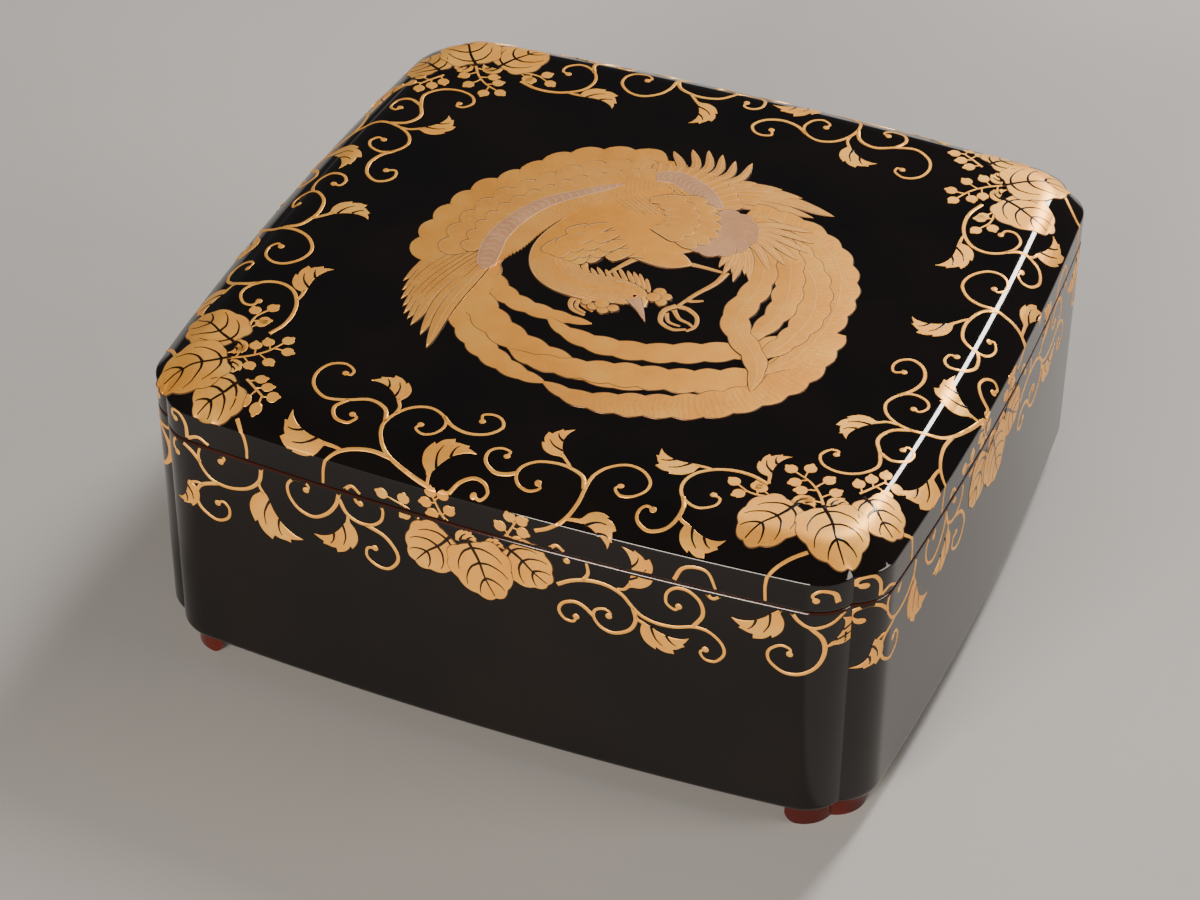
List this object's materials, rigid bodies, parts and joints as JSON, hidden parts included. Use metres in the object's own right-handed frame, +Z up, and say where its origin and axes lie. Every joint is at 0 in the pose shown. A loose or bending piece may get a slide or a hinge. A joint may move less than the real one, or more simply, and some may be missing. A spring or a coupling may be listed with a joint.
{
  "type": "lidded lacquer tea box",
  "caption": "Large black lacquer box for tea things, with bowed walls, two-lobed corners, bracket feet, a flush lift-off lid and gold leaf and bird decoration.",
  "frame": {"origin": "centre of the floor plane under the four feet", "axes": "+Z up, -Y out of the front face that the picture shows on the left, +X along the long side towards the right face"},
  "size_m": [0.3118, 0.2994, 0.1355],
  "materials": {
    "black_lacquer": "black lacquer, polished to a mirror",
    "red_lacquer": "dark red lacquer, glossy",
    "gold_lacquer": "gold powder set in lacquer, satin"
  },
  "bodies": {
    "box": {"bottom_panel": "black_lacquer", "body_wall_front": "black_lacquer", "body_wall_back": "black_lacquer", "body_wall_left": "black_lacquer", "body_wall_right": "black_lacquer", "body_corner_front_left": "black_lacquer", "body_corner_front_right": "black_lacquer", "body_corner_back_left": "black_lacquer", "body_corner_back_right": "black_lacquer", "lip_strip_front": "black_lacquer", "lip_strip_back": "black_lacquer", "lip_strip_left": "black_lacquer", "lip_strip_right": "black_lacquer", "lip_corner_front_left": "black_lacquer", "lip_corner_front_right": "black_lacquer", "lip_corner_back_left": "black_lacquer", "lip_corner_back_right": "black_lacquer", "foot_front_left": "red_lacquer", "foot_front_right": "red_lacquer", "foot_back_left": "red_lacquer", "foot_back_right": "red_lacquer"},
    "lid": {"lid_top_panel": "black_lacquer", "lid_rail_front": "black_lacquer", "lid_rail_back": "black_lacquer", "lid_rail_left": "black_lacquer", "lid_rail_right": "black_lacquer", "lid_corner_front_left": "black_lacquer", "lid_corner_front_right": "black_lacquer", "lid_corner_back_left": "black_lacquer", "lid_corner_back_right": "black_lacquer"}
  },
  "joints": [
    {"name": "lid_lift", "type": "slide", "parent": "box", "child": "lid", "axis": [0, 0, 1], "range_m": [0, 0.15]}
  ]
}
